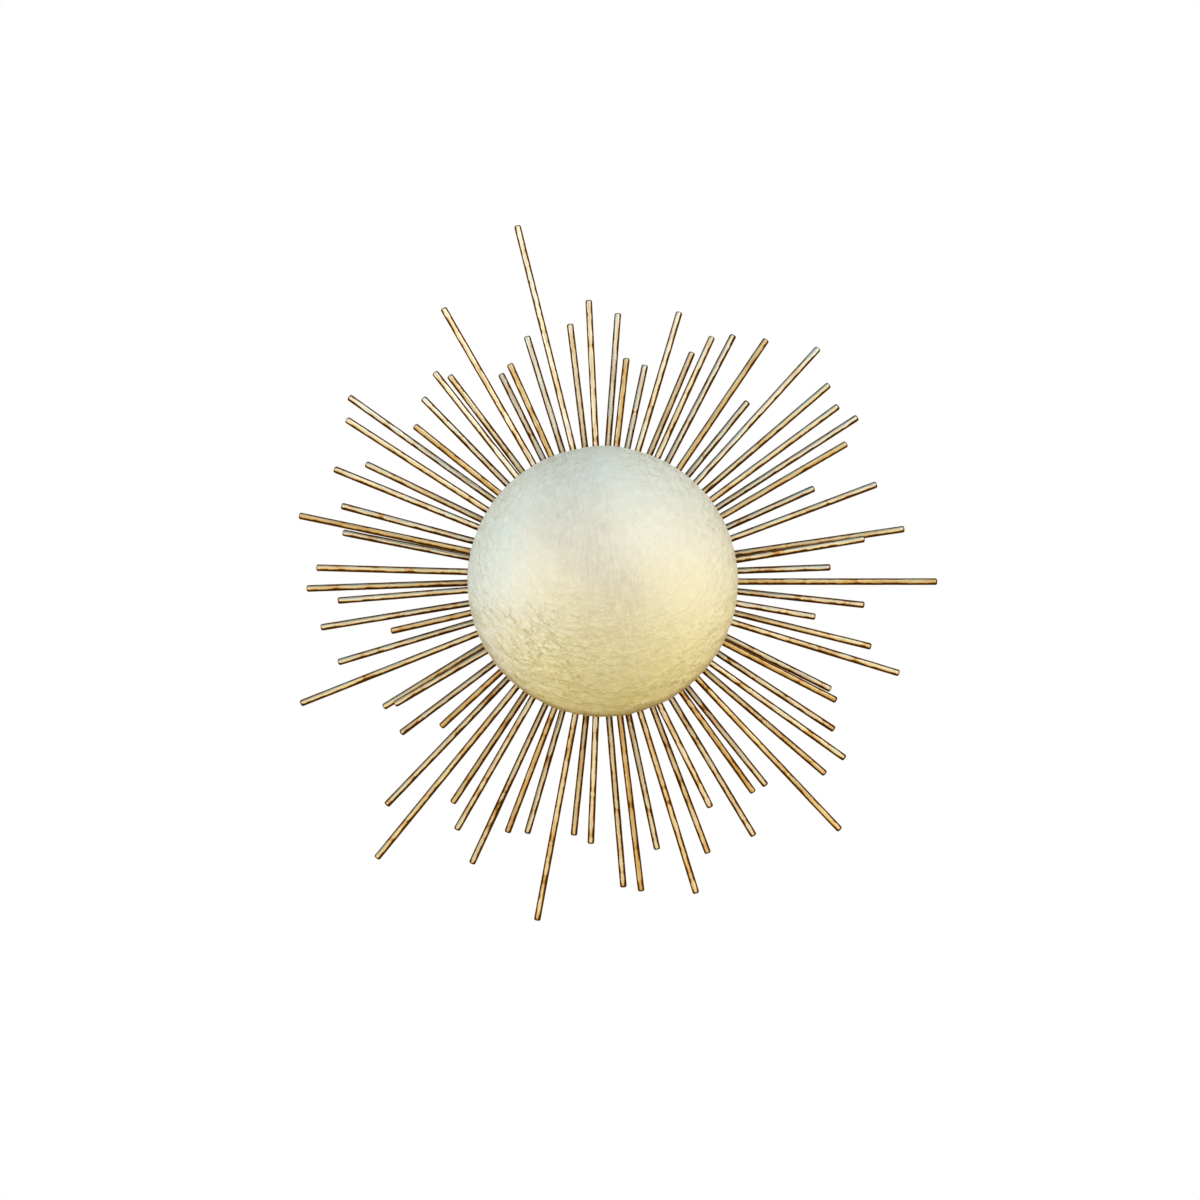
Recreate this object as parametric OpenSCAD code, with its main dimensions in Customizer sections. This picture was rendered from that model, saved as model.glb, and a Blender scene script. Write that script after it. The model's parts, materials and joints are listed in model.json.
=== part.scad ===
// Sunburst wall ornament: a domed centre shell carried on a hub, with two rows of rods ("rays") behind it.
// The wall is the plane y = 0 and the ornament faces -Y, with +Z up. Every piece is drawn face on, in a frame
// where x is right, y is up and z is the distance from the wall, and stood up on the wall by face_on().

/* [Dome] */
// Diameter of the dome at its rim
dome_d = 250; // [220:1:320]
// Height of the dome from its rim to its crown
dome_rise = 100; // [70:1:120]
// Wall of the dome shell
dome_wall = 3; // [2:0.5:5]
// Distance that the dome's rim stands out past the hub discs
dome_overhang = 30; // [20:1:40]
// Width of the ring inside the dome's mouth
dome_ring_w = 16; // [12:1:24]
// Thickness of the ring inside the dome's mouth
dome_ring_t = 4; // [3:0.5:8]
// Thickness of the disc that carries the dome
seat_t = 3; // [3:0.5:6]

/* [Rays] */
// Number of rays, half of them in each row
ray_count = 78; // [52:2:82]
// Diameter of a ray
ray_d = 6.35; // [5:0.05:7.7]
// Rounding of a ray's outer end
ray_tip_round = 1.8; // [0.5:0.1:2.4]
// Distance from the centre to the tip of the longest ray
long_ray_reach = 336; // [270:1:460]
// Distance from the centre to the tip of the shortest ray
short_ray_reach = 198; // [180:1:260]
// Depth of the socket that a ray sits in
socket_depth = 25; // [15:1:28]

/* [Hub] */
// Wood left in front of and behind a ray in its hub disc
hub_wall = 2.8; // [2:0.1:6]
// Diameter of the circle that the tie bolts stand on
tie_circle_d = 100; // [70:1:110]
// Length of the spacers, which leaves room for the heads of the wall screws
spacer_length = 14; // [10:1:25]
// Outer diameter of a spacer
spacer_d = 14; // [10:0.5:20]

/* [Back plate] */
// Thickness of the back plate
plate_t = 3; // [3:0.5:6]
// Distance that the back plate's edge stays inside the hub's edge
plate_inset = 5; // [0:1:15]
// Distance between the two keyholes
keyhole_spacing = 120; // [90:1:125]
// Height of the keyholes' entry circles above the centre
keyhole_height = 30; // [15:1:35]
// Diameter of a keyhole's entry circle, which passes a screw head
keyhole_entry_d = 10; // [8:0.5:14]
// Width of a keyhole's slot, which takes a screw's shank
keyhole_slot_w = 4.6; // [3.5:0.1:6]
// Distance that the ornament drops on its screws
keyhole_drop = 10; // [8:0.5:14]

/* [Fasteners] */
// Diameter of a tie bolt
tie_bolt_d = 5; // [4:0.5:6]
// Diameter of a dome screw
dome_screw_d = 4; // [3:0.5:5]
// Number of dome screws
dome_screw_count = 6; // [3:1:8]

/* [Fits] */
// Gap all round a ray in its socket
socket_clearance = 0.05; // [0.02:0.01:0.1]
// Gap all round a bolt or a screw in a plain hole
bolt_clearance = 0.25; // [0.1:0.05:0.5]
// Gap all round a bolt or a screw in its thread
thread_clearance = 0.05; // [0.02:0.01:0.1]
// Gap between the dome's inside and the seat's edge
seat_clearance = 0.3; // [0.1:0.05:0.6]
// Gap between the dome's inside and its ring, which the glue fills
glue_gap = 0.1; // [0.05:0.05:0.3]

/* [Hidden] */
$fn = 96;

// One row per ray, clockwise from the top. Each gives how far its foot at the dome's rim is off its even
// place and how far it leans off the straight line from the centre, both in degrees clockwise, and its
// length as a share in hundredths: 0 is as short as the shortest ray and 100 is as long as the longest.
RAYS = [
    [0, 2, 36], [-1, 0.5, 6], [-1, 1.5, 4], [-1, 1.5, 43], [-0.5, 2.5, 21], [-1.5, 0.5, 35],
    [-1.5, -1, 43], [-0.5, 0, 51], [-0.5, 0.5, 11], [-0.5, -1, 68], [0, 1, 57], [0, 0.5, 52],
    [-0.5, 0, 59], [-1, -1.5, 43], [-0.5, -0.5, 11], [0, -2, 50], [2, 3.5, 61], [0, 0, 33],
    [0, 2.5, 9], [0, 0, 79], [-0.5, 2, 32], [0, 0.5, 0], [-0.5, 0.5, 41], [-1, -0.5, 63],
    [1, 2.5, 25], [-1, 0.5, 31], [-0.5, 1.5, 40], [0, -1.5, 56], [-0.5, -0.5, 53], [-0.5, 1, 85],
    [0.5, 0, 31], [-1, 0, 29], [-0.5, -0.5, 54], [0.5, -1.5, 23], [-1, 1, 51], [0, -1, 73],
    [0.5, -1, 39], [-0.5, 0.5, 64], [-0.5, -2, 61], [0.5, -0.5, 31], [0, -1, 27], [0, -1, 86],
    [1, -1, 32], [0, 0, 35], [-0.5, 0, 64], [1, -1, 48], [0, -1, 35], [0, 0, 94],
    [0.5, -0.5, 64], [0, -1, 1], [0, 0, 25], [1.5, 0.5, 17], [-0.5, -3.5, 25], [0.5, 1, 73],
    [1, 1, 41], [0.5, 0.5, 1], [0, 0, 47], [1, -1, 33], [-0.5, -1.5, 54], [-0.5, -2.5, 47],
    [1, 1, 33], [-1, -1, 63], [-1, -2.5, 38], [0.5, -1.5, 50], [-0.5, -1.5, 33], [-0.5, 1, 58],
    [0, -1.5, 66], [-1, -2, 19], [-0.5, 0, 28], [0, 1, 35], [-1.5, -1, 28], [-0.5, 0.5, 67],
    [-0.5, -0.5, 11], [-1.5, -2, 14], [-1, 0, 28], [-1, -1.5, 100], [-0.5, 0.5, 30], [-0.5, 0, 44]
];

tie_count = 3;
nut_flats = 1.6 * tie_bolt_d;
nut_t = 0.8 * tie_bolt_d;
bolt_end = 1.5;
countersink = 2;  // a countersunk head is this many times as wide as its shank
key_share = 0.6;  // a bolt's key is this share of its diameter across the flats
key_depth_share = 0.4;  // and goes this share of the diameter into the head
cut_past = 1;  // a cut runs this far past the face that it opens

rim_r = dome_d / 2;
hub_r = rim_r - dome_overhang;
hub_t = ray_d + 2 * hub_wall;
plate_r = hub_r - plate_inset;

// Distances from the wall, from back to front
spacer_z = plate_t;
rear_hub_z = spacer_z + spacer_length;
front_hub_z = rear_hub_z + hub_t;
seat_z = front_hub_z + hub_t;
ring_z = seat_z + seat_t;
ring_front_z = ring_z + dome_ring_t;

// The dome is a cap of a ball, and its rim is level with the back of the seat
ball_r = (rim_r * rim_r + dome_rise * dome_rise) / (2 * dome_rise);
ball_z = seat_z + dome_rise - ball_r;
inner_ball_r = ball_r - dome_wall;

seat_r = inside_r(ring_z) - seat_clearance;
ring_inner_r = inside_r(ring_front_z) - dome_ring_w;
dome_screw_circle_r = ring_inner_r + dome_ring_w / 2;

pitch = 360 / ray_count;
pair_count = ray_count / 2;

// Inner radius of the dome at a distance from the wall
function inside_r(z) = sqrt(inner_ball_r * inner_ball_r - (z - ball_z) * (z - ball_z));

function ray(i) = RAYS[i % len(RAYS)];
function ray_angle(i) = (i + 0.5) * pitch + ray(i)[0];
function ray_lean(i) = ray(i)[1];
function ray_reach(i) = short_ray_reach + (long_ray_reach - short_ray_reach) * ray(i)[2] / 100;
function in_front(i) = i % 2 == 1;
function ray_z(i) = (in_front(i) ? front_hub_z : rear_hub_z) + hub_t / 2;

// Distance along a ray, from its foot at the rim, to where it is r from the centre
function along(i, r) = sqrt(pow(r, 2) - pow(rim_r * sin(ray_lean(i)), 2)) - rim_r * cos(ray_lean(i));

function pair_name(k) = str("ray_pair_", k < 9 ? "0" : "", k + 1);
function spacer_name(k) = str("spacer_", k + 1);

// Stands a piece that is drawn face on up against the wall
module face_on() {
    rotate([90, 0, 0]) children();
}

// Repeats a piece evenly on a circle, the first at the top
module around(count, r) {
    for (k = [0 : count - 1])
        rotate([0, 0, -k * 360 / count]) translate([0, r, 0]) children();
}

module disc(r, t) {
    cylinder(r = r, h = t);
}

// Countersunk bolt or its hole, with the flat of the head at z = 0
module countersunk(d, length) {
    cylinder(d = d, h = length);
    cylinder(d1 = countersink * d, d2 = d, h = (countersink - 1) * d / 2);
}

// Countersunk bolt with a socket for a hexagon key in its head
module key_bolt(d, length) {
    difference() {
        countersunk(d, length);
        translate([0, 0, -cut_past])
            cylinder(d = key_share * d / cos(30), h = key_depth_share * d + cut_past, $fn = 6);
    }
}

// Puts a piece where a ray runs, with z along the ray and z = 0 at the dome's rim
module on_ray(i) {
    rotate([0, 0, -ray_angle(i)])
        translate([0, rim_r, ray_z(i)])
            rotate([-90, 0, 0]) rotate([0, ray_lean(i), 0]) children();
}

// Half section of a ray: a straight rod with a softly rounded outer end
module ray_section(length) {
    square([ray_d / 2 - ray_tip_round, length]);
    square([ray_d / 2, length - ray_tip_round]);
    intersection() {
        translate([ray_d / 2 - ray_tip_round, length - ray_tip_round]) circle(r = ray_tip_round);
        square([ray_d / 2, length]);
    }
}

module one_ray(i) {
    foot = along(i, hub_r - socket_depth);
    length = along(i, ray_reach(i)) - foot;
    on_ray(i) translate([0, 0, foot]) rotate_extrude() ray_section(length);
}

// A ray of the rear row with its clockwise neighbour in the front row
module ray_pair(k) {
    color([0.62, 0.49, 0.31]) face_on() for (i = [2 * k, 2 * k + 1]) one_ray(i);
}

// Sockets drilled from the hub's edge for one row of rays
module sockets(front) {
    for (i = [0 : ray_count - 1])
        if (in_front(i) == front) {
            foot = along(i, hub_r - socket_depth);
            on_ray(i) translate([0, 0, foot])
                cylinder(r = ray_d / 2 + socket_clearance, h = along(i, hub_r + cut_past) - foot);
        }
}

module tie_holes() {
    around(tie_count, tie_circle_d / 2)
        cylinder(d = tie_bolt_d + 2 * bolt_clearance, h = ring_z + cut_past);
}

module hub_disc(z, front) {
    color([0.20, 0.16, 0.12]) face_on() difference() {
        translate([0, 0, z]) disc(hub_r, hub_t);
        sockets(front);
        tie_holes();
    }
}

module front_hub_disc() {
    hub_disc(front_hub_z, true);
}

module rear_hub_disc() {
    hub_disc(rear_hub_z, false);
}

module dome_section() {
    intersection() {
        translate([0, ball_z]) difference() {
            circle(r = ball_r);
            circle(r = inner_ball_r);
        }
        translate([0, seat_z]) square([dome_d, dome_rise + cut_past]);
    }
}

module dome_shell() {
    color([0.93, 0.88, 0.72]) face_on() rotate_extrude() dome_section();
}

// Half section of the ring, whose edge follows the dome's inside
module dome_ring_section() {
    intersection() {
        translate([0, ball_z]) circle(r = inner_ball_r - glue_gap);
        translate([ring_inner_r, ring_z]) square([dome_d, dome_ring_t]);
    }
}

module dome_ring() {
    color("silver") face_on() difference() {
        rotate_extrude() dome_ring_section();
        around(dome_screw_count, dome_screw_circle_r)
            cylinder(d = dome_screw_d + 2 * thread_clearance, h = ring_front_z + cut_past);
    }
}

module dome_screws() {
    color("gray") face_on() around(dome_screw_count, dome_screw_circle_r)
        translate([0, 0, seat_z]) key_bolt(dome_screw_d, seat_t + dome_ring_t);
}

module dome_seat() {
    color("silver") face_on() difference() {
        translate([0, 0, seat_z]) disc(seat_r, seat_t);
        tie_holes();
        around(dome_screw_count, dome_screw_circle_r)
            translate([0, 0, seat_z]) countersunk(dome_screw_d + 2 * bolt_clearance, seat_t + cut_past);
    }
}

module captive_nuts() {
    color("gray") face_on() around(tie_count, tie_circle_d / 2) translate([0, 0, ring_z])
    difference() {
        cylinder(d = nut_flats / cos(30), h = nut_t, $fn = 6);
        translate([0, 0, -cut_past])
            cylinder(d = tie_bolt_d + 2 * thread_clearance, h = nut_t + 2 * cut_past);
    }
}

module tie_bolts() {
    color("gray") face_on() around(tie_count, tie_circle_d / 2)
        key_bolt(tie_bolt_d, ring_z + nut_t + bolt_end);
}

module spacer(k) {
    color("gray") face_on() rotate([0, 0, -k * 360 / tie_count])
        translate([0, tie_circle_d / 2, spacer_z]) difference() {
            cylinder(d = spacer_d, h = spacer_length);
            translate([0, 0, -cut_past])
                cylinder(d = tie_bolt_d + 2 * bolt_clearance, h = spacer_length + 2 * cut_past);
        }
}

// A screw head goes in at the entry circle, and the shank runs up the slot as the ornament drops
module keyhole() {
    circle(d = keyhole_entry_d);
    translate([-keyhole_slot_w / 2, 0]) square([keyhole_slot_w, keyhole_drop]);
    translate([0, keyhole_drop]) circle(d = keyhole_slot_w);
}

module back_plate() {
    color([0.20, 0.16, 0.12]) face_on() difference() {
        disc(plate_r, plate_t);
        around(tie_count, tie_circle_d / 2)
            countersunk(tie_bolt_d + 2 * bolt_clearance, plate_t + cut_past);
        for (side = [-1, 1])
            translate([side * keyhole_spacing / 2, keyhole_height, -cut_past])
                linear_extrude(plate_t + 2 * cut_past) keyhole();
    }
}

dome_shell();
dome_ring();
dome_screws();
dome_seat();
captive_nuts();
front_hub_disc();
rear_hub_disc();
tie_bolts();
back_plate();
for (k = [0 : tie_count - 1]) spacer(k);
for (k = [0 : pair_count - 1]) ray_pair(k);
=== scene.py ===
import json
import math
import random

import bmesh
import bpy
import numpy as np
from mathutils import Matrix, Vector, noise


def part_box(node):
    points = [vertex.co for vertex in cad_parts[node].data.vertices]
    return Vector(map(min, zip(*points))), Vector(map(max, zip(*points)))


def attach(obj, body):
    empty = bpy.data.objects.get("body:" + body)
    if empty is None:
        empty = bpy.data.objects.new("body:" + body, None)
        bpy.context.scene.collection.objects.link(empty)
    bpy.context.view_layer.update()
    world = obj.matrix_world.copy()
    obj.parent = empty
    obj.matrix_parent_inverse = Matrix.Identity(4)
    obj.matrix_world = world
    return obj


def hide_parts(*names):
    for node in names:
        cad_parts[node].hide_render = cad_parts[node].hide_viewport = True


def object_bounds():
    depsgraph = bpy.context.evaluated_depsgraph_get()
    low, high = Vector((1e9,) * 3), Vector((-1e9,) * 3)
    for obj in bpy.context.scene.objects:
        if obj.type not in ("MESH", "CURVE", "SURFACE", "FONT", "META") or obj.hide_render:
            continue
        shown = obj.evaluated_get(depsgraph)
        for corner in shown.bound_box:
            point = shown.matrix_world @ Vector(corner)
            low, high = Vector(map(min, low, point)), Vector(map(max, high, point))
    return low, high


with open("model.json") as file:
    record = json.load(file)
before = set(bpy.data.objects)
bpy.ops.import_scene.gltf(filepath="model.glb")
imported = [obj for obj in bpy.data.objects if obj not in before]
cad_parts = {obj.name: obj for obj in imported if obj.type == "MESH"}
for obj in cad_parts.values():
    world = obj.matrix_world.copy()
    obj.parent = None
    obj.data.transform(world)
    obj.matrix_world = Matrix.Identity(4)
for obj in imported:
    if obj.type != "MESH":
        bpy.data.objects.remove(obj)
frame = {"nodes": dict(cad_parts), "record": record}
cadLow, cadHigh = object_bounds()
print("frame:", len(frame["nodes"]), "nodes loaded")


# Helpers for node trees: a value may be a number, a colour or another node's output.
# A cloud's numbers are its scale, detail and distortion. A remap's are from low, from high,
# to low and to high, and without the last two it goes from 0 to 1.

def plug(tree, value, socket):
    if isinstance(value, bpy.types.NodeSocket):
        tree.links.new(value, socket)
    elif socket.type == "RGBA" and len(value) == 3:
        socket.default_value = (*value, 1.0)
    else:
        socket.default_value = value


def startMaterial(name):
    material = bpy.data.materials.new(name)
    material.use_nodes = True
    material.node_tree.nodes.clear()
    return material, material.node_tree


def calc(tree, operation, *values):
    node = tree.nodes.new("ShaderNodeMath")
    node.operation = operation
    for value, socket in zip(values, node.inputs):
        plug(tree, value, socket)
    return node.outputs["Value"]


def distance(tree, first, second):
    squares = calc(tree, "MULTIPLY_ADD", first, first, calc(tree, "MULTIPLY", second, second))
    return calc(tree, "SQRT", squares)


def remap(tree, value, fromLow, fromHigh, toLow=0.0, toHigh=1.0):
    node = tree.nodes.new("ShaderNodeMapRange")
    for item, socket in zip((value, fromLow, fromHigh, toLow, toHigh), node.inputs):
        plug(tree, item, socket)
    return node.outputs["Result"]


def blendColours(tree, amount, first, second, mode="MIX"):
    node = tree.nodes.new("ShaderNodeMix")
    node.data_type = "RGBA"
    node.blend_type = mode
    # the node's sockets for colours, which share their names with those for numbers
    plug(tree, amount, node.inputs[0])
    plug(tree, first, node.inputs[6])
    plug(tree, second, node.inputs[7])
    return node.outputs[2]


def tinted(tree, colour, tint, amount=1.0):
    return blendColours(tree, amount, colour, tint, "MULTIPLY")


def shaded(colour, share):
    return tuple(share * value for value in colour)


def ramp(tree, value, *stops):
    node = tree.nodes.new("ShaderNodeValToRGB")
    elements = node.color_ramp.elements
    while len(elements) < len(stops):
        elements.new(0.5)                  # its place is set below
    for element, (position, colour) in zip(elements, stops):
        element.position = position
        element.color = (*colour, 1.0)
    plug(tree, value, node.inputs["Fac"])
    return node.outputs["Color"]


def coordinates(tree, output="Object"):
    return tree.nodes.new("ShaderNodeTexCoord").outputs[output]


def attribute(tree, name, output="Fac"):
    node = tree.nodes.new("ShaderNodeAttribute")
    node.attribute_name = name
    return node.outputs[output]


def cloud(tree, vector, scale, detail, distortion=0.0, output="Fac"):
    node = tree.nodes.new("ShaderNodeTexNoise")
    plug(tree, vector, node.inputs["Vector"])
    node.inputs["Scale"].default_value = scale
    node.inputs["Detail"].default_value = detail
    node.inputs["Distortion"].default_value = distortion
    return node.outputs[output]


def longCloud(tree, vector, scales, detail, distortion=0.0, turn=0.0):
    # a cloud with its own scale along each axis, turned by some degrees in the front plane
    node = tree.nodes.new("ShaderNodeMapping")
    plug(tree, vector, node.inputs["Vector"])
    node.inputs["Scale"].default_value = scales
    node.inputs["Rotation"].default_value = (0.0, math.radians(turn), 0.0)
    return cloud(tree, node.outputs["Vector"], 1.0, detail, distortion)


def cells(tree, vector, scale):
    node = tree.nodes.new("ShaderNodeTexVoronoi")
    plug(tree, vector, node.inputs["Vector"])
    node.inputs["Scale"].default_value = scale
    return node.outputs


def vectorSum(tree, first, second, share):
    node = tree.nodes.new("ShaderNodeVectorMath")
    node.operation = "MULTIPLY_ADD"
    plug(tree, second, node.inputs[0])
    node.inputs[1].default_value = (share, share, share)
    plug(tree, first, node.inputs[2])
    return node.outputs["Vector"]


def joined(tree, x, y, z):
    node = tree.nodes.new("ShaderNodeCombineXYZ")
    for value, socket in zip((x, y, z), node.inputs):
        plug(tree, value, socket)
    return node.outputs["Vector"]


def axes(tree, vector):
    node = tree.nodes.new("ShaderNodeSeparateXYZ")
    plug(tree, vector, node.inputs["Vector"])
    return node.outputs                    # "X", "Y" and "Z"


def bump(tree, height, depth, strength=1.0, under=None):
    node = tree.nodes.new("ShaderNodeBump")
    plug(tree, height, node.inputs["Height"])
    node.inputs["Distance"].default_value = depth
    node.inputs["Strength"].default_value = strength
    if under is not None:
        plug(tree, under, node.inputs["Normal"])
    return node.outputs["Normal"]


def finishMaterial(tree, colour, metallic, roughness, normal=None, specular=0.5):
    shader = tree.nodes.new("ShaderNodeBsdfPrincipled")
    plug(tree, colour, shader.inputs["Base Color"])
    plug(tree, metallic, shader.inputs["Metallic"])
    plug(tree, roughness, shader.inputs["Roughness"])
    shader.inputs["Specular IOR Level"].default_value = specular
    if normal is not None:
        plug(tree, normal, shader.inputs["Normal"])
    output = tree.nodes.new("ShaderNodeOutputMaterial")
    tree.links.new(shader.outputs["BSDF"], output.inputs["Surface"])
    return shader


# Helpers for meshes.

def meshPiece(name, bm, material, replaced):
    # the finished mesh as a piece at the origin, riding on the one body
    mesh = bpy.data.meshes.new(name)
    bm.to_mesh(mesh)
    bm.free()
    mesh.materials.append(material)
    mesh.shade_smooth()
    piece = bpy.data.objects.new(name, mesh)
    bpy.context.scene.collection.objects.link(piece)
    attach(piece, "root")
    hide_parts(replaced)
    return piece


def smoothStep(low, high, value):
    share = min(max((value - low) / (high - low), 0.0), 1.0)
    return share * share * (3.0 - 2.0 * share)


def softNoise(spot):
    return 0.5 + 0.5 * noise.noise(spot)   # about 0 to 1


def growing(shares, amount):
    # a share found everywhere, and one that grows with the amount
    return shares[0] + shares[1] * amount


# Dome: a crinkled cap with a champagne leaf skin.

dome = {
    "outerSubdivisions": 8,                # about 1.2 mm between points
    "innerSubdivisions": 6,
    "weldDistance": 0.0003,
    "rimSoft": 0.0005,                     # chamfer round the rim
    "seed": 78,                            # for the vector noise, which goes by the clock without it
    # relief in the mesh
    "swellDepth": 0.00050,                 # slow swells of a hand-formed mould
    "swellSize": 0.032,
    "scaleDepth": 0.00105,                 # overlapping scale-like crinkles
    "scaleSize": (0.0118, 0.0060),         # along their rows and across them
    "scaleShape": (0.55, 0.55, 0.45),      # middle height, rise towards the rim, fall at the edges
    "scaleDrift": ((0.60, 0.016), (0.32, 0.0055)),   # how far the rows stray, and over what size
    "rowCentre": 0.050,                    # the rows run round a point this far above the axis
    "rowRadius": 0.110,                    # where a row has that size
    "seamAngle": 0.4,                      # the rows' ends meet above that point and fade out
    "crinkleDepth": 0.00045,               # sharp little folds between the scales
    "crinkleSize": 0.0050,
    "crinkleFractal": (0.9, 2.1, 3, 1.0, 2.0),   # falloff, step, octaves, offset and gain
    "crinklePeak": 2.2,
    "crinkleShares": (0.15, 0.6),          # everywhere, and where it is rough
    "streakDepth": 0.00011,                # upright brush streaks in the middle
    "streakSize": (0.0034, 0.020),         # across and along them
    "sweepDepth": 0.00050,                 # slanting sweeps at the upper left
    "sweepSize": (0.0040, 0.018),
    "sweepTurn": -52.0,
    "sweepShares": (0.25, 0.75),           # streaks and sweeps: everywhere, and in their own place
    # where it is rough, as distances from the axis over which that grows
    "roughEverywhere": 0.12,
    "roughLowerLeft": 0.50,
    "leftFrom": (-0.020, 0.060),
    "downFrom": (-0.010, 0.060),
    "driftSize": 0.021,                    # the lower left has calmer and livelier patches
    "driftPlace": (7.0, 3.0, 1.0),
    "driftShares": (0.55, 0.9),
    "roughLower": 0.56,
    "lowerFrom": (-0.010, 0.070),
    "rightFrom": (-0.030, 0.070),          # the foot is calmer to the right
    "rightCalm": 0.42,
    "roughRim": 0.56,
    "rimFrom": (0.085, 0.120),
    "upperLeftFrom": (-0.010, 0.070),
    "upperLeftWay": (-0.65, 0.76),
    # the brushed band down the middle, with real brush streaks and a painted shade standing in for a
    # dim reflection
    "bandAside": 0.008,                    # its place at the foot
    "bandSlope": 0.75,                     # it leans to the left above the axis
    "bandTop": 0.05,                       # up to this height
    "bandWander": (0.007, 0.030),          # how far it strays, and over what size
    "bandPlace": 3.0,
    "bandWidth": (0.010, 0.050),
    "bandFade": 0.5,                       # it is fainter towards the foot
    "bandFadeFrom": (0.02, 0.08),
    # the leaf's colour from the foot to the top, partly its own and partly painted light: cool at the
    # top, warm at the foot
    "washAndLightStops": (
        (0.00, (0.98, 0.82, 0.355)),
        (0.55, (0.872, 0.825, 0.655)),
        (0.92, (0.785, 0.845, 0.785)),
    ),
    "coolLightLean": -1.9,                      # painted cool light: it turns silvery sooner to the left
    "washCloud": (16.0, 3.0, 0.4),
    "washDrift": 0.22,
    # painted cool light: paler still along the left edge
    "coolLightLeftEdge": (-0.060, -0.115, 0.0, 0.60),
    "mottleCloud": (120.0, 5.0, 0.6),
    "mottleStops": ((0.30, (0.90, 0.89, 0.87)), (0.70, (1.0, 1.0, 1.0))),
    "metallic": 0.25,                      # more lacquer than metal
    "roughness": (0.25, 0.75, 0.50, 0.62),       # follows the mottling
    # shingles finer than the mesh
    "shingleDepth": 0.0024,
    "shingleSize": (0.0078, 0.0037),
    "shingleShape": (0.50, 0.60, 0.30),    # as for the scales
    "shingleDrift": ((62.0, 2.2), (190.0, 1.1)),     # scale of the drift, and how far it goes
    "patchCloud": (75.0, 2.0),             # they come in patches
    "patchFrom": (0.36, 0.60, 0.35, 1.0),
    "creaseShadeColour": (0.54, 0.43, 0.13),    # painted shade in the creases
    "creaseFrom": (0.45, 0.90),
    "creaseShare": 0.5,
    "underFrom": (0.42, 0.12),             # painted shade under the shingles
    "underShare": 0.8,
    "creaseShadeShare": 0.57,                    # how much of it shows in the deepest crease
    "lipHighlightColour": (1.0, 0.97, 0.76),        # painted highlight on the shingles' lips
    "lipHighlightFrom": (0.58, 0.86, 0.0, 0.9),
    "strokeScale": (330.0, 160.0, 70.0),   # brush strokes finer than the streaks
    "strokeCloud": (4.0, 0.9),             # detail and distortion
    "strokeTurn": 8.0,
    "strokeDepth": 0.00100,
    "strokeFrom": (0.0, 1.0, 0.4, 1.0),    # deepest in the brushed band
    "grainDepth": 0.00012,
    "grainCloud": (560.0, 4.0, 0.3),
    "bandShadeColour": (0.86, 0.84, 0.87),   # painted shade in the brushed band, standing in for a dim reflection
    "bandShadeFrom": (0.38, 0.62, 1.4, 0.4),
    "bandShadeShare": 0.6,
    "rimShadeColour": (0.46, 0.31, 0.11),  # painted shade towards the lower rim
    "rimShadeHeight": 0.021,
    "rimShadePower": 1.25,
    "rimShadeDown": (-0.005, -0.100),
    "rimShadeRight": (0.080, 0.125, 0.0, 0.30),
    "rimColour": (0.86, 0.62, 0.26),       # bare edge at the wall side
    "rimBand": 0.0012,
}


def ballOfDome():
    # the ball that the dome is cut from: centre, outer and inner radius
    low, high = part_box("dome_shell")
    rise = high.y - low.y
    radius = (high.x ** 2 + rise ** 2) / (2 * rise)
    centre = Vector((0.0, low.y + radius, 0.0))
    inner = min((v.co - centre).length for v in frame["nodes"]["dome_shell"].data.vertices)
    return centre, radius, inner


def turned(x, z, degrees):
    # the point (x, z) measured along and across a direction in the front plane
    c, s = math.cos(math.radians(degrees)), math.sin(math.radians(degrees))
    return x * c + z * s, z * c - x * s


def scales(point, look):
    # height of a scale: their rows run round the axis, and each rises towards the rim, then drops
    wide, tall = look["scaleSize"]
    high = point.z - look["rowCentre"]
    around = math.atan2(point.x, -high) * look["rowRadius"]
    spot = Vector((around / wide, 0.0, -math.hypot(point.x, high) / tall))
    (broad, broadSize), (fine, fineSize) = look["scaleDrift"]
    spot += broad * noise.noise_vector(point / broadSize) + fine * noise.noise_vector(point / fineSize)
    distances, centres = noise.voronoi(spot)
    level, rise, fall = look["scaleShape"]
    height = level + rise * (centres[0].z - spot.z) - fall * distances[0] ** 2
    return min(max(height, 0.0), 1.0)


def brushedShadedBand(x, z, look):
    # 1 in the upright band that the brush has gone over, 0 beside it; the band carries the brush
    # streaks and a painted shade
    wander, size = look["bandWander"]
    bend = look["bandAside"] - look["bandSlope"] * min(max(z, 0.0), look["bandTop"])
    bend += wander * noise.noise(Vector((0.0, look["bandPlace"], z / size)))
    band = 1.0 - smoothStep(*look["bandWidth"], abs(x - bend))
    return band * (1.0 - look["bandFade"] * smoothStep(*look["bandFadeFrom"], -z))


def roughAt(point, look):
    # 0 where the skin is calm, 1 where it is crinkled most
    x, z = point.x, point.z
    lowerLeft = smoothStep(*look["downFrom"], -z) * smoothStep(*look["leftFrom"], -x)
    lower = smoothStep(*look["lowerFrom"], -z)
    lower *= 1.0 - look["rightCalm"] * smoothStep(*look["rightFrom"], x)
    rim = smoothStep(*look["rimFrom"], math.hypot(x, z))
    drift = softNoise(point / look["driftSize"] + Vector(look["driftPlace"]))
    rough = look["roughEverywhere"]
    rough += look["roughLowerLeft"] * lowerLeft * growing(look["driftShares"], drift)
    rough += look["roughLower"] * lower
    rough += look["roughRim"] * rim
    fromSeam = math.pi - abs(math.atan2(x, look["rowCentre"] - z))
    return min(rough, 1.0) * smoothStep(0.0, look["seamAngle"], fromSeam)


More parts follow.
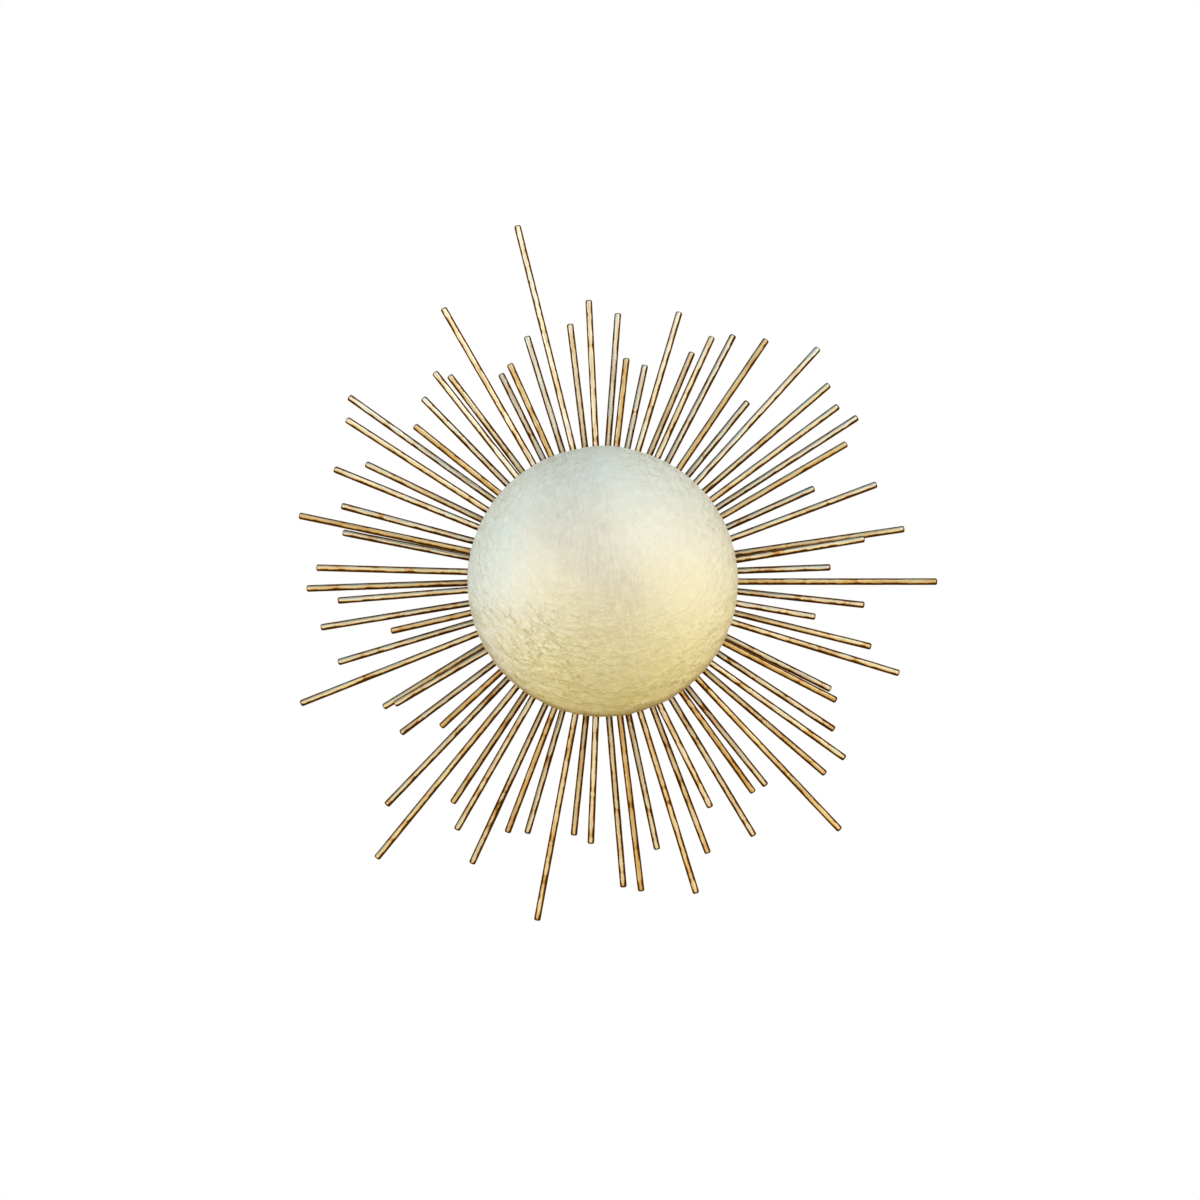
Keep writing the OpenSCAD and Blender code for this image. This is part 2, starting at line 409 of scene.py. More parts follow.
def domeRelief(point, look):
    # how far the surface lies below the smooth ball, then how creased, rough and brushed it is; the
    # creases and the brushed band also carry painted shade
    x, z = point.x, point.z
    rough = roughAt(point, look)
    brushedAndShaded = brushedShadedBand(x, z, look)
    sideways, upwards = look["upperLeftWay"]
    upperLeft = smoothStep(*look["upperLeftFrom"], sideways * x + upwards * z)
    gap = 1.0 - scales(point, look)
    folds = noise.ridged_multi_fractal(point / look["crinkleSize"], *look["crinkleFractal"])
    fold = min(folds / look["crinklePeak"], 1.0)
    across, along = look["streakSize"]
    streak = softNoise(Vector((x / across, point.y / along, z / along)))
    across, along = look["sweepSize"]
    u, v = turned(x, z, look["sweepTurn"])
    sweep = softNoise(Vector((u / along, point.y / along, v / across)))
    depth = look["swellDepth"] * softNoise(point / look["swellSize"])
    depth += look["scaleDepth"] * rough * gap
    depth += look["crinkleDepth"] * growing(look["crinkleShares"], rough) * (1.0 - fold)
    depth += look["streakDepth"] * growing(look["sweepShares"], brushedAndShaded) * streak
    depth += look["sweepDepth"] * growing(look["sweepShares"], upperLeft) * sweep
    return depth, rough * gap, rough, brushedAndShaded


def capOfBall(bm, centre, radius, subdivisions, cutAt):
    # adds a ball and cuts away what lies behind the plane
    before = set(bm.verts)
    bmesh.ops.create_icosphere(
        bm, subdivisions=subdivisions, radius=radius, matrix=Matrix.Translation(centre)
    )
    verts = [v for v in bm.verts if v not in before]
    edges = [e for e in bm.edges if e.verts[0] not in before]
    faces = [f for f in bm.faces if f.verts[0] not in before]
    bmesh.ops.bisect_plane(
        bm, geom=verts + edges + faces, plane_co=(0, cutAt, 0), plane_no=(0, 1, 0), clear_outer=True
    )


def makeDome(look):
    noise.seed_set(look["seed"])
    centre, radius, innerRadius = ballOfDome()
    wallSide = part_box("dome_shell")[1].y
    bm = bmesh.new()
    capOfBall(bm, centre, radius, look["outerSubdivisions"], wallSide - look["rimSoft"])
    bmesh.ops.remove_doubles(bm, verts=bm.verts, dist=look["weldDistance"])
    rimEdges = [e for e in bm.edges if e.is_boundary]
    crease = bm.verts.layers.float.new("crease")
    rough = bm.verts.layers.float.new("rough")
    brushedAndShaded = bm.verts.layers.float.new("brushedAndShaded")
    for v in bm.verts:
        depth, v[crease], v[rough], v[brushedAndShaded] = domeRelief(v.co, look)
        v.co += (centre - v.co).normalized() * depth
    made = bmesh.ops.extrude_edge_only(bm, edges=rimEdges)
    lip = [item for item in made["geom"] if isinstance(item, bmesh.types.BMVert)]
    for v in lip:
        narrower = 1.0 - look["rimSoft"] / math.hypot(v.co.x, v.co.z)
        v.co = Vector((v.co.x * narrower, wallSide, v.co.z * narrower))
    lipEdges = [e for e in bm.edges if e.is_boundary]
    outerEdges, outerFaces = set(lipEdges), set(bm.faces)
    capOfBall(bm, centre, innerRadius, look["innerSubdivisions"], wallSide)
    innerFaces = [f for f in bm.faces if f not in outerFaces]
    bmesh.ops.reverse_faces(bm, faces=innerFaces)
    innerEdges = [e for e in bm.edges if e.is_boundary and e not in outerEdges]
    bmesh.ops.bridge_loops(bm, edges=lipEdges + innerEdges)
    bmesh.ops.recalc_face_normals(bm, faces=bm.faces)
    piece = meshPiece("crinkledDome", bm, champagneLeaf(look), "dome_shell")
    print("dome:", len(piece.data.polygons), "faces")


def leafWashAndLight(tree, place, look):
    # silvery at the top to gold at the foot, with a drifting border: partly the leaf's own colour,
    # partly painted light, cool from above and the left and warm from below
    at = axes(tree, place)
    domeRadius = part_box("dome_shell")[1].x
    height = calc(tree, "DIVIDE", at["Z"], domeRadius)
    drift = cloud(tree, place, *look["washCloud"])
    drift = remap(tree, drift, 0.0, 1.0, -look["washDrift"], look["washDrift"])
    height = calc(tree, "ADD", height, drift)
    height = calc(tree, "MULTIPLY_ADD", at["X"], look["coolLightLean"], height)
    height = calc(tree, "ADD", height, remap(tree, at["X"], *look["coolLightLeftEdge"]))
    return ramp(tree, remap(tree, height, -1.0, 1.0), *look["washAndLightStops"])


def leafShingles(tree, place, look):
    # height of the shingles, in rows like those of the scales
    at = axes(tree, place)
    below = calc(tree, "SUBTRACT", look["rowCentre"], at["Z"])
    around = calc(tree, "MULTIPLY", calc(tree, "ARCTAN2", at["X"], below), look["rowRadius"])
    wide, tall = look["shingleSize"]
    alongRow = calc(tree, "DIVIDE", around, wide)
    acrossRow = calc(tree, "DIVIDE", distance(tree, at["X"], below), -tall)
    rows = joined(tree, alongRow, 0.0, acrossRow)
    for scale, share in look["shingleDrift"]:
        rows = vectorSum(tree, rows, cloud(tree, place, scale, 2.0, 0.0, "Color"), share)
    cell = cells(tree, rows, 1.0)
    overhang = calc(tree, "SUBTRACT", axes(tree, cell["Position"])["Z"], axes(tree, rows)["Z"])
    level, rise, fall = look["shingleShape"]
    height = calc(tree, "MULTIPLY_ADD", overhang, rise, level)
    edges = calc(tree, "MULTIPLY", calc(tree, "POWER", cell["Distance"], 2.0), fall)
    return calc(tree, "SUBTRACT", height, edges)


def champagneLeaf(look):
    material, tree = startMaterial("champagneLeaf")
    place = coordinates(tree)
    at = axes(tree, place)
    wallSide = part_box("dome_shell")[1].y
    mottle = cloud(tree, place, *look["mottleCloud"])
    colour = tinted(tree, leafWashAndLight(tree, place, look), ramp(tree, mottle, *look["mottleStops"]))
    # painted shade in the creases and under the shingles, and a painted highlight on the shingles'
    # lips
    height = leafShingles(tree, place, look)
    patches = remap(tree, cloud(tree, place, *look["patchCloud"]), *look["patchFrom"])
    rough = calc(tree, "MULTIPLY", attribute(tree, "rough"), patches)
    under = calc(tree, "MULTIPLY", remap(tree, height, *look["underFrom"]), rough)
    under = calc(tree, "MULTIPLY", under, look["underShare"])
    crease = remap(tree, attribute(tree, "crease"), *look["creaseFrom"])
    creaseShade = calc(tree, "MULTIPLY_ADD", crease, look["creaseShare"], under)
    creaseShade = calc(tree, "MULTIPLY", creaseShade, look["creaseShadeShare"])
    colour = blendColours(tree, creaseShade, colour, look["creaseShadeColour"])
    bright = calc(tree, "MULTIPLY", remap(tree, height, *look["lipHighlightFrom"]), rough)
    colour = blendColours(tree, bright, colour, look["lipHighlightColour"])
    # painted shade: the brushed band is darkened along its strokes, standing in for a dim reflection
    brushedAndShaded = attribute(tree, "brushedAndShaded")
    detail, distortion = look["strokeCloud"]
    strokes = longCloud(tree, place, look["strokeScale"], detail, distortion, look["strokeTurn"])
    bandShade = calc(tree, "MULTIPLY", brushedAndShaded, remap(tree, strokes, *look["bandShadeFrom"]))
    bandShade = calc(tree, "MULTIPLY", bandShade, look["bandShadeShare"])
    colour = tinted(tree, colour, look["bandShadeColour"], bandShade)
    # painted shade towards the wall side, most of all at the foot and to the right, and the bare edge
    # there
    rimShade = remap(tree, at["Y"], wallSide - look["rimShadeHeight"], wallSide)
    rimShade = calc(tree, "POWER", rimShade, look["rimShadePower"])
    lower = remap(tree, at["Z"], *look["rimShadeDown"])
    lower = calc(tree, "MAXIMUM", lower, remap(tree, at["X"], *look["rimShadeRight"]))
    colour = tinted(tree, colour, look["rimShadeColour"], calc(tree, "MULTIPLY", rimShade, lower))
    edge = remap(tree, at["Y"], wallSide - look["rimBand"], wallSide - look["rimBand"] / 2)
    colour = blendColours(tree, edge, colour, look["rimColour"])
    # shingles, brush strokes and an even grain, one over the other
    shingled = bump(tree, calc(tree, "MULTIPLY", height, rough), look["shingleDepth"])
    strokes = calc(tree, "MULTIPLY", strokes, remap(tree, brushedAndShaded, *look["strokeFrom"]))
    stroked = bump(tree, strokes, look["strokeDepth"], 1.0, shingled)
    grain = cloud(tree, place, *look["grainCloud"])
    normal = bump(tree, grain, look["grainDepth"], 1.0, stroked)
    dullness = remap(tree, mottle, *look["roughness"])
    finishMaterial(tree, colour, look["metallic"], dullness, normal)
    return material


# Rods: antique brass with painted light: dark edges painted along the flanks, a painted pale highlight
# in front, cool upper and warm lower faces.

rods = {
    "sides": 18,
    "ringSpacing": 0.0035,
    "tipSteps": 3,
    "tipShare": 0.55,                      # tip rounding as a share of the radius
    "endTrim": 0.00001,                    # keeps the tips just inside their CAD length
    "wobbleDepth": 0.00016,
    "wobbleSize": (0.0042, 0.016),         # around and along the rod
    "seed": 78,
    "tones": (0.98, 0.22, 0.68),           # painted light and shade of every first, second and third rod, 0 deep to 1 pale, as three rows at different depths are lit
    "toneSpread": 0.12,
    "rowLightOffsets": (0.24, -0.14),             # painted light: the rear row is painted a little paler against the shade of the front row
    # clouds along the rod: scale across, across and along, then detail and distortion
    "wanderCloud": ((110.0, 110.0, 85.0), 4.0, 0.5),
    "streakCloud": ((420.0, 420.0, 38.0), 4.0, 0.5),
    "patchCloud": ((60.0, 60.0, 22.0), 2.0),
    "grainCloud": ((620.0, 620.0, 50.0), 2.0),
    "grainDepth": 0.00005,
    "grainStrength": 0.4,
    "wanderFrom": (0.25, 0.75, -0.13, 0.13),    # how far the border of the painted dark edge strays
    "upLean": -0.45,                       # up is towards the upper left
    # painted light across the brass, from the lower right face to the upper left one: warm amber
    # below, a painted pale highlight, a painted cool grey above
    "paintedLightStops": (
        (0.10, (0.46, 0.17, 0.025)),
        (0.24, (0.95, 0.54, 0.16)),
        (0.38, (1.0, 0.83, 0.46)),
        (0.54, (1.0, 1.0, 0.92)),
        (0.66, (0.69, 0.83, 0.91)),
        (0.86, (0.30, 0.42, 0.51)),
    ),
    "acrossShares": (0.5, 0.6),            # how much the slope and the straying border move it
    "acrossPatches": (0.3, 0.7, 0.42, 0.54),
    "acrossTones": (0.0, 1.0, -0.03, 0.07),
    "deepColour": (0.60, 0.38, 0.15),      # tarnish in streaks
    "deepFrom": (0.54, 0.36, 0.0, 0.50),
    "lightByHeightFrom": (-0.25, 0.25),           # painted light: the rods that point down are tinted warm and those that point up pale
    "lightByHeightStops": ((0.1, (0.95, 0.79, 0.50)), (0.9, (1.0, 0.985, 0.88))),
    "toneStops": ((0.0, (0.74, 0.63, 0.46)), (0.55, (0.97, 0.92, 0.81)), (0.90, (1.0, 1.0, 1.0))),
    # painted shade: the dark edges along the flanks
    "edgeShadeFrom": (0.80, 0.92),            # how squarely a face looks forward where the brass shows
    "edgeShadeHeight": (0.15, 0.02, 0.012, -0.030),     # more of it on the rods at the top
    "edgeShadeUp": 0.15,
    "lowEdgeStops": ((0.0, (0.066, 0.024, 0.003)), (0.50, (0.64, 0.27, 0.040))),   # painted dark edge, then amber, on the lower side
    "highEdgeStops": ((0.0, (0.064, 0.053, 0.040)), (0.45, (0.29, 0.37, 0.42))),    # painted dark edge, then a painted cool grey, on the upper side
    "highEdgeFrom": (0.50, 0.85),
    "sideColour": (0.30, 0.145, 0.038),    # full flanks, which only show from the side
    "sideFrom": (0.40, 0.14),
    "sideWander": 0.8,
    "sideStreaks": (0.35, 0.60),
    "brassFrom": (0.40, 1.0),              # where flank turns into brass
    "metallicFrom": (0.35, 0.95, 0.0, 0.42),
    "sideMetallic": 0.06,
    "roughness": (0.2, 0.8, 0.22, 0.36),   # follows the streaks
    "flankRoughness": 0.26,
    "specular": 0.01,
}


def rodsOfPair(node):
    # the two rods of a pair: foot, tip and radius of each, rear row first
    digits = 7                             # points within 0.1 micrometre are one point
    points = np.array([v.co for v in node.data.vertices], float)
    middle = (points[:, 1].min() + points[:, 1].max()) / 2
    found = []
    for inRow in (points[:, 1] > middle, points[:, 1] < middle):
        rod = np.unique(points[inRow].round(digits), axis=0)
        centre = rod.mean(axis=0)
        axis = np.linalg.svd(rod - centre)[2][0]
        if axis @ centre < 0:
            axis = -axis
        along = (rod - centre) @ axis
        across = np.linalg.norm(rod - centre - np.outer(along, axis), axis=1)
        foot, tip = centre + axis * along.min(), centre + axis * along.max()
        found.append((Vector(foot), Vector(tip), across.max()))
    return found


def makeRod(foot, tip, radius, tone, look, chance):
    length = (tip - foot).length - look["endTrim"]
    shift = Vector((chance.uniform(0, 9), chance.uniform(0, 9), chance.uniform(0, 9)))
    bm = bmesh.new()
    bmesh.ops.create_cone(
        bm, cap_ends=True, segments=look["sides"], radius1=radius, radius2=radius,
        depth=length, matrix=Matrix.Translation((0, 0, length / 2)),
    )
    tipEdges = [e for e in bm.edges if min(v.co.z for v in e.verts) > length / 2]
    bmesh.ops.bevel(
        bm, geom=tipEdges, offset=radius * look["tipShare"], offset_type="OFFSET",
        affect="EDGES", segments=look["tipSteps"], profile=0.5, material=-1,
    )
    longEdges = [e for e in bm.edges if e.calc_length() > length / 2]
    rings = round(length / look["ringSpacing"])
    bmesh.ops.subdivide_edges(bm, edges=longEdges, cuts=rings, use_grid_fill=True)
    rodSpace = bm.verts.layers.float_vector.new("rodSpace")
    rodFacing = bm.verts.layers.float_vector.new("rodFacing")
    rodTone = bm.verts.layers.float.new("rodTone")
    around, along = look["wobbleSize"]
    for v in bm.verts:
        v[rodSpace] = v.co + shift
        v[rodTone] = tone
        spot = Vector((v.co.x / around, v.co.y / around, v.co.z / along)) + shift
        inward = look["wobbleDepth"] * softNoise(spot) / radius
        v.co.x *= 1.0 - inward
        v.co.y *= 1.0 - inward
    turn = (tip - foot).to_track_quat("Z", "Y").to_matrix().to_4x4()
    bmesh.ops.transform(bm, matrix=Matrix.Translation(foot) @ turn, verts=bm.verts)
    bm.normal_update()
    for v in bm.verts:
        v[rodFacing] = v.normal
    mesh = bpy.data.meshes.new("rod")
    bm.to_mesh(mesh)
    bm.free()
    return mesh


def makeRods(look):
    chance = random.Random(look["seed"])
    brass = paintedLightBrass(look)
    count = 0
    for name in sorted(name for name in frame["nodes"] if name.startswith("ray_pair")):
        bm = bmesh.new()
        pair = rodsOfPair(frame["nodes"][name])
        for rowLight, (foot, tip, radius) in zip(look["rowLightOffsets"], pair):
            tone = look["tones"][count % len(look["tones"])] + rowLight
            tone += look["toneSpread"] * chance.uniform(-1, 1)
            mesh = makeRod(foot, tip, radius, tone, look, chance)
            count += 1
            bm.from_mesh(mesh)
            bpy.data.meshes.remove(mesh)
        pieceName = "paintedLightRods" + name.split("_")[-1]
        meshPiece(pieceName, bm, brass, name)
    print("rods:", count)


def paintedLightBrass(look):
    material, tree = startMaterial("paintedLightBrass")
    local = attribute(tree, "rodSpace", "Vector")
    tone = attribute(tree, "rodTone")
    facing = axes(tree, attribute(tree, "rodFacing", "Vector"))
    height = axes(tree, coordinates(tree))["Z"]
    # painted light: the faces towards the upper left are painted paler and cooler, those below more
    # golden, as the light falls
    up = calc(tree, "MULTIPLY_ADD", facing["X"], look["upLean"], facing["Z"])
    wavy = remap(tree, longCloud(tree, local, *look["wanderCloud"]), *look["wanderFrom"])
    streaks = longCloud(tree, local, *look["streakCloud"])
    patches = longCloud(tree, local, *look["patchCloud"])
    # across the rod the painted light goes from amber below, through a painted highlight, to a painted
    # cool grey above
    slopeShare, wavyShare = look["acrossShares"]
    level = calc(tree, "MULTIPLY_ADD", up, slopeShare, calc(tree, "MULTIPLY", wavy, wavyShare))
    level = calc(tree, "ADD", level, remap(tree, patches, *look["acrossPatches"]))
    level = calc(tree, "ADD", level, remap(tree, tone, *look["acrossTones"]))
    brass = ramp(tree, level, *look["paintedLightStops"])
    deep = remap(tree, streaks, *look["deepFrom"])
    brass = blendColours(tree, deep, brass, look["deepColour"])
    # painted light: warmer on the rods that point down, paler on those that point up
    lightByHeight = ramp(tree, remap(tree, height, *look["lightByHeightFrom"]), *look["lightByHeightStops"])
    brass = tinted(tree, brass, lightByHeight)
    brass = tinted(tree, brass, ramp(tree, tone, *look["toneStops"]))
    # painted shade: dark edges along the flanks, amber below and a painted cool grey above, and their
    # border strays
    square = calc(tree, "ABSOLUTE", facing["Y"])
    clearOfEdgeShade = calc(tree, "ADD", square, wavy)
    clearOfEdgeShade = calc(tree, "ADD", clearOfEdgeShade, remap(tree, height, *look["edgeShadeHeight"]))
    clearOfEdgeShade = calc(tree, "MULTIPLY_ADD", up, look["edgeShadeUp"], clearOfEdgeShade)
    clearOfEdgeShade = remap(tree, clearOfEdgeShade, *look["edgeShadeFrom"])
    below = ramp(tree, clearOfEdgeShade, *look["lowEdgeStops"])
    above = ramp(tree, clearOfEdgeShade, *look["highEdgeStops"])
    flank = blendColours(tree, remap(tree, up, *look["highEdgeFrom"]), below, above)
    side = calc(tree, "MULTIPLY_ADD", wavy, look["sideWander"], square)
    side = remap(tree, side, *look["sideFrom"])
    aged = remap(tree, streaks, *look["sideStreaks"])
    aged = blendColours(tree, aged, look["sideColour"], look["deepColour"])
    flank = blendColours(tree, side, flank, aged)
    colour = blendColours(tree, remap(tree, clearOfEdgeShade, *look["brassFrom"]), flank, brass)
    metallic = remap(tree, clearOfEdgeShade, *look["metallicFrom"])
    sideMetallic = calc(tree, "MULTIPLY", side, look["sideMetallic"])
    metallic = calc(tree, "MAXIMUM", metallic, sideMetallic)
    edgeShade = calc(tree, "SUBTRACT", 1.0, clearOfEdgeShade)
    dullness = remap(tree, streaks, *look["roughness"])
    dullness = calc(tree, "MULTIPLY_ADD", edgeShade, look["flankRoughness"], dullness)
    grain = longCloud(tree, local, *look["grainCloud"])
    normal = bump(tree, grain, look["grainDepth"], look["grainStrength"])
    finishMaterial(tree, colour, metallic, dullness, normal, look["specular"])
    return material


# Finishes of the pieces that keep their CAD shape, by slot.

plainFinishes = {
    "plain_aluminium": {
        "lineScale": (2600.0, 900.0),      # lathe lines, outwards from the axis and along it
        "lineDetail": 2.0,
        "lineDepth": 0.00004,
        "lineStrength": 0.6,
        "stainCloud": (34.0, 4.0, 0.5),
        "stainFrom": (0.30, 0.70),
        "stainShade": 0.72,
        "metallic": 0.95,
        "roughness": (0.3, 0.7, 0.26, 0.42),
    },
    "zinc_steel": {
        "spangleScale": 420.0,
        "spangleShare": 0.18,
        "spangleShade": 0.72,
        "dullCloud": (150.0, 4.0, 0.4),    # handling marks
        "dullFrom": (0.50, 0.75, 0.0, 0.5),
        "dullColour": (0.36, 0.34, 0.31),
        "grainCloud": (1600.0, 2.0),
        "grainDepth": 0.00003,
        "grainStrength": 0.5,
        "metallic": 0.92,
        "roughness": (0.3, 0.7, 0.24, 0.46),
    },
    "stained_hardwood": {
        "ringCloud": ((5.0, 70.0, 58.0), 5.0, 1.2),       # long along X
        "ringFrom": (0.30, 0.52, 0.74),    # where it is dark, even and pale
        "ringShades": (0.42, 1.35),
        "ringDepth": 0.0002,
        "ringStrength": 0.35,
        "poreCloud": ((60.0, 1500.0, 1500.0), 3.0),
        "poreFrom": (0.52, 0.70, 0.0, 0.7),
        "poreDepth": 0.00012,
        "poreStrength": 0.6,
        "roughness": (0.3, 0.7, 0.62, 0.46),
        "specular": 0.35,
    },
    "dark_bronze_paint": {
        "peelCloud": (760.0, 2.0, 0.2),
        "peelDepth": 0.00010,
        "peelStrength": 0.7,
        "sparkleScale": 1900.0,
        "sparkleShare": 0.16,
        "wornCloud": (26.0, 6.0, 0.7),
        "wornFrom": (0.52, 0.74, 0.0, 0.55),
        "wornShade": 1.9,
        "metallic": 0.25,
        "roughness": (0.3, 0.7, 0.52, 0.36),
    },
}


def turnedAluminium(base, look):
    # fine lathe lines run round the axis
    material, tree = startMaterial("turnedAluminium")
    place = coordinates(tree)
    at = axes(tree, place)
    outwards, inwards = look["lineScale"]
    rings = calc(tree, "MULTIPLY", distance(tree, at["X"], at["Z"]), outwards)
    rings = joined(tree, rings, calc(tree, "MULTIPLY", at["Y"], inwards), 0.0)
    lines = cloud(tree, rings, 1.0, look["lineDetail"])
    stained, clean = look["stainFrom"]
    stain = cloud(tree, place, *look["stainCloud"])
    colour = ramp(tree, stain, (stained, shaded(base, look["stainShade"])), (clean, base))
    normal = bump(tree, lines, look["lineDepth"], look["lineStrength"])
    finishMaterial(tree, colour, look["metallic"], remap(tree, lines, *look["roughness"]), normal)
    return material


def zincPlate(base, look):
    # soft spangle with a few dull handling marks
    material, tree = startMaterial("zincPlate")
    place = coordinates(tree)
    spangle = cells(tree, place, look["spangleScale"])["Color"]
    ground = shaded(base, look["spangleShade"])
    colour = blendColours(tree, look["spangleShare"], ground, spangle, "OVERLAY")
    dull = cloud(tree, place, *look["dullCloud"])
    colour = blendColours(tree, remap(tree, dull, *look["dullFrom"]), colour, look["dullColour"])
    grain = cloud(tree, place, *look["grainCloud"])
    normal = bump(tree, grain, look["grainDepth"], look["grainStrength"])
    finishMaterial(tree, colour, look["metallic"], remap(tree, dull, *look["roughness"]), normal)
    return material


def stainedWood(base, look):
    # straight grain along X, open pores and a thin dark stain
    material, tree = startMaterial("stainedWood")
    place = coordinates(tree)
    rings = longCloud(tree, place, *look["ringCloud"])
    pores = longCloud(tree, place, *look["poreCloud"])
    dark, pale = (shaded(base, share) for share in look["ringShades"])
    colour = ramp(tree, rings, *zip(look["ringFrom"], (dark, base, pale)))
    colour = blendColours(tree, remap(tree, pores, *look["poreFrom"]), colour, dark)
    fibre = bump(tree, pores, look["poreDepth"], look["poreStrength"])
    normal = bump(tree, rings, look["ringDepth"], look["ringStrength"], fibre)
    dullness = remap(tree, rings, *look["roughness"])
    finishMaterial(tree, colour, 0.0, dullness, normal, look["specular"])
    return material


def bronzePaint(base, look):
    # orange-peel powder coat with paler rubbed spots
    material, tree = startMaterial("bronzePaint")
    place = coordinates(tree)
    sparkle = cells(tree, place, look["sparkleScale"])["Color"]
    colour = blendColours(tree, look["sparkleShare"], base, sparkle, "SOFT_LIGHT")
    worn = cloud(tree, place, *look["wornCloud"])
    bare = shaded(base, look["wornShade"])
    colour = blendColours(tree, remap(tree, worn, *look["wornFrom"]), colour, bare)
    peel = cloud(tree, place, *look["peelCloud"])
    normal = bump(tree, peel, look["peelDepth"], look["peelStrength"])
    finishMaterial(tree, colour, look["metallic"], remap(tree, worn, *look["roughness"]), normal)
    return material


def finishPlainNodes(looks):
    makers = {
        "plain_aluminium": turnedAluminium,
        "zinc_steel": zincPlate,
        "stained_hardwood": stainedWood,
        "dark_bronze_paint": bronzePaint,
    }
    bases = {m["slot"]: tuple(m["base_color"]) for m in frame["record"]["materials"]}
    finished = {slot: make(bases[slot], looks[slot]) for slot, make in makers.items()}
    for node in frame["nodes"].values():
        for place in node.material_slots:
            slot = place.material.name.split(".")[0]
            if slot in finished:
                place.material = finished[slot]
    print("finishes:", len(finished), "on the CAD nodes")


# Stage: pale floor, white air, soft light.

stage = {
    "floorSize": 8.0,
    "floorParts": 8,
    "floorDrop": 3.4,                      # floor below the object's middle
    "floorColour": (0.88, 0.80, 0.62),     # as it lights the object
    "floorSeenColour": (0.97, 0.95, 0.92),
    "floorGlow": 0.30,                     # only for the camera, so that the shadow stays faint
    "floorCloud": (3.0, 4.0),
    "floorStops": ((0.3, (0.97, 0.97, 0.97)), (0.7, (1.0, 1.0, 1.0))),
    "floorRoughness": 0.85,
    # colour of the air, from straight down to straight up
    "skyStops": (
        (0.00, (0.95, 0.86, 0.63)),
        (0.30, (1.00, 0.93, 0.76)),
        (0.50, (1.00, 0.98, 0.93)),
        (0.72, (0.80, 0.85, 0.88)),
        (1.00, (0.47, 0.54, 0.59)),
    ),
    "airStrength": 0.81,
}
lamps = {
    "leftSoftbox": {
        "at": (-2.70, -1.12, -0.25), "size": (2.6, 2.8), "watts": 26.0, "colour": (0.96, 0.99, 1.0),
    },
    "rightSoftbox": {
        "at": (2.8, -1.0, 0.05), "size": (2.6, 2.8), "watts": 20.0, "colour": (1.0, 0.96, 0.87),
    },
    "reliefKey": {
        "at": (1.3, -1.9, 1.9), "size": (1.8, 1.8), "watts": 17.0, "colour": (1.0, 0.98, 0.95),
    },
}


def floorMaterial(look):
    material, tree = startMaterial("paleFloor")
    mottle = cloud(tree, coordinates(tree), *look["floorCloud"])
    seen = tree.nodes.new("ShaderNodeLightPath").outputs["Is Camera Ray"]
    pale = blendColours(tree, seen, look["floorColour"], look["floorSeenColour"])
    colour = tinted(tree, ramp(tree, mottle, *look["floorStops"]), pale)
    shader = finishMaterial(tree, colour, 0.0, look["floorRoughness"])
    plug(tree, colour, shader.inputs["Emission Color"])
    glow = calc(tree, "MULTIPLY", seen, look["floorGlow"])
    plug(tree, glow, shader.inputs["Emission Strength"])
    return material


def makeFloor(look):
    height = (cadLow.z + cadHigh.z) / 2 - look["floorDrop"]
    bm = bmesh.new()
    bmesh.ops.create_grid(
        bm, x_segments=look["floorParts"], y_segments=look["floorParts"],
        size=look["floorSize"] / 2, matrix=Matrix.Translation((0, 0, height)),
    )
    mesh = bpy.data.meshes.new("floor")
    bm.to_mesh(mesh)
    bm.free()
    mesh.materials.append(floorMaterial(look))
    piece = bpy.data.objects.new("floor", mesh)
    bpy.context.scene.collection.objects.link(piece)


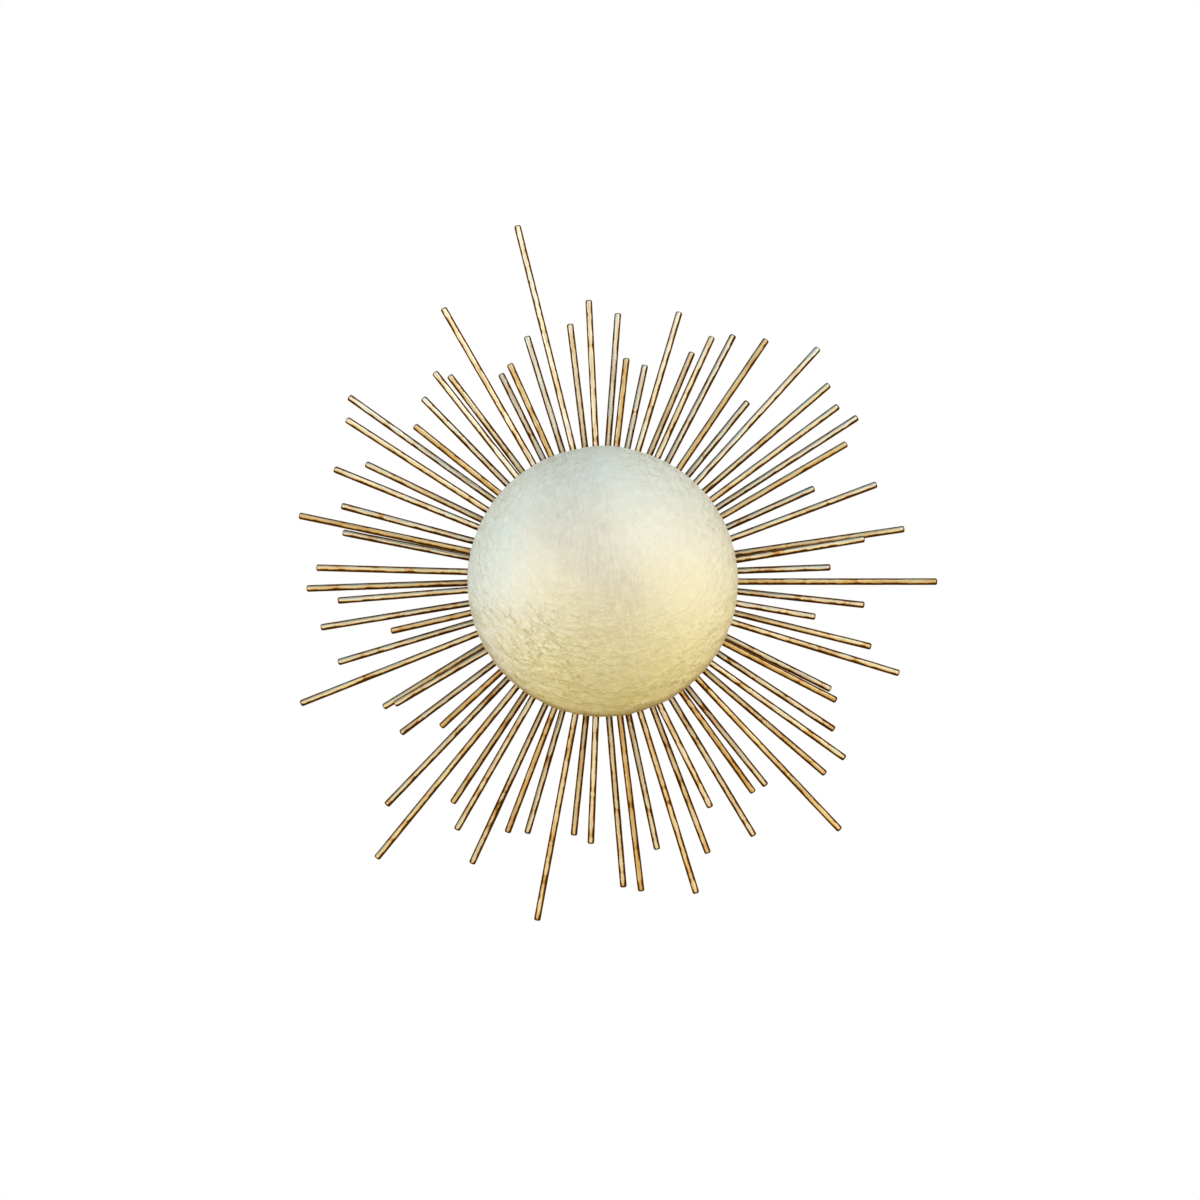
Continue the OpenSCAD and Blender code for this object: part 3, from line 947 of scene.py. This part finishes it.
def makeAir(look):
    world = bpy.data.worlds.new("studioAir")
    world.use_nodes = True
    tree = world.node_tree
    tree.nodes.clear()
    upwards = axes(tree, coordinates(tree, "Generated"))["Z"]
    colour = ramp(tree, remap(tree, upwards, -1.0, 1.0), *look["skyStops"])
    path = tree.nodes.new("ShaderNodeLightPath").outputs
    seen = calc(tree, "MAXIMUM", path["Is Camera Ray"], path["Is Glossy Ray"])
    seen = calc(tree, "MAXIMUM", seen, path["Is Transmission Ray"])
    strength = remap(tree, seen, 0.0, 1.0, look["airStrength"], 1.0)
    air = tree.nodes.new("ShaderNodeBackground")
    plug(tree, blendColours(tree, seen, colour, (1.0, 1.0, 1.0)), air.inputs["Color"])
    plug(tree, strength, air.inputs["Strength"])
    output = tree.nodes.new("ShaderNodeOutputWorld")
    tree.links.new(air.outputs["Background"], output.inputs["Surface"])
    bpy.context.scene.world = world


def makeLamps(looks):
    for name, settings in looks.items():
        light = bpy.data.lights.new(name, "AREA")
        light.shape = "RECTANGLE"
        light.size, light.size_y = settings["size"]
        light.energy = settings["watts"]
        light.color = settings["colour"]
        lamp = bpy.data.objects.new(name, light)
        lamp.location = settings["at"]
        lamp.rotation_euler = (-lamp.location).to_track_quat("-Z", "Y").to_euler()
        lamp.visible_camera = False
        bpy.context.scene.collection.objects.link(lamp)
    print("stage:", len(looks), "lamps")


# Camera: square to the wall, a long lens a little below the middle.

camera = {
    "distance": 3.2,                       # in front of the wall
    "aside": -0.0023,                      # from the dome's axis
    "below": -0.01685,
    "frameWidth": 1.1028,                  # what the picture takes in at the rods
    "sensor": 36.0,
    "reach": 60.0,
}


def makeCamera(look):
    low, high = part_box("ray_pair_01")
    rodDepth = (low.y + high.y) / 2
    view = bpy.data.cameras.new("camera")
    view.sensor_width = look["sensor"]
    view.lens = look["sensor"] * (look["distance"] + rodDepth) / look["frameWidth"]
    view.clip_end = look["reach"]
    holder = bpy.data.objects.new("camera", view)
    holder.location = (look["aside"], -look["distance"], look["below"])
    holder.rotation_euler = (math.radians(90), 0, 0)   # level, facing the wall
    bpy.context.scene.collection.objects.link(holder)
    bpy.context.scene.camera = holder
    print("camera:", round(view.lens), "mm")


makeCamera(camera)
makeFloor(stage)
makeAir(stage)
makeLamps(lamps)
makeDome(dome)
makeRods(rods)
finishPlainNodes(plainFinishes)

bpy.context.scene.view_settings.view_transform = "Standard"
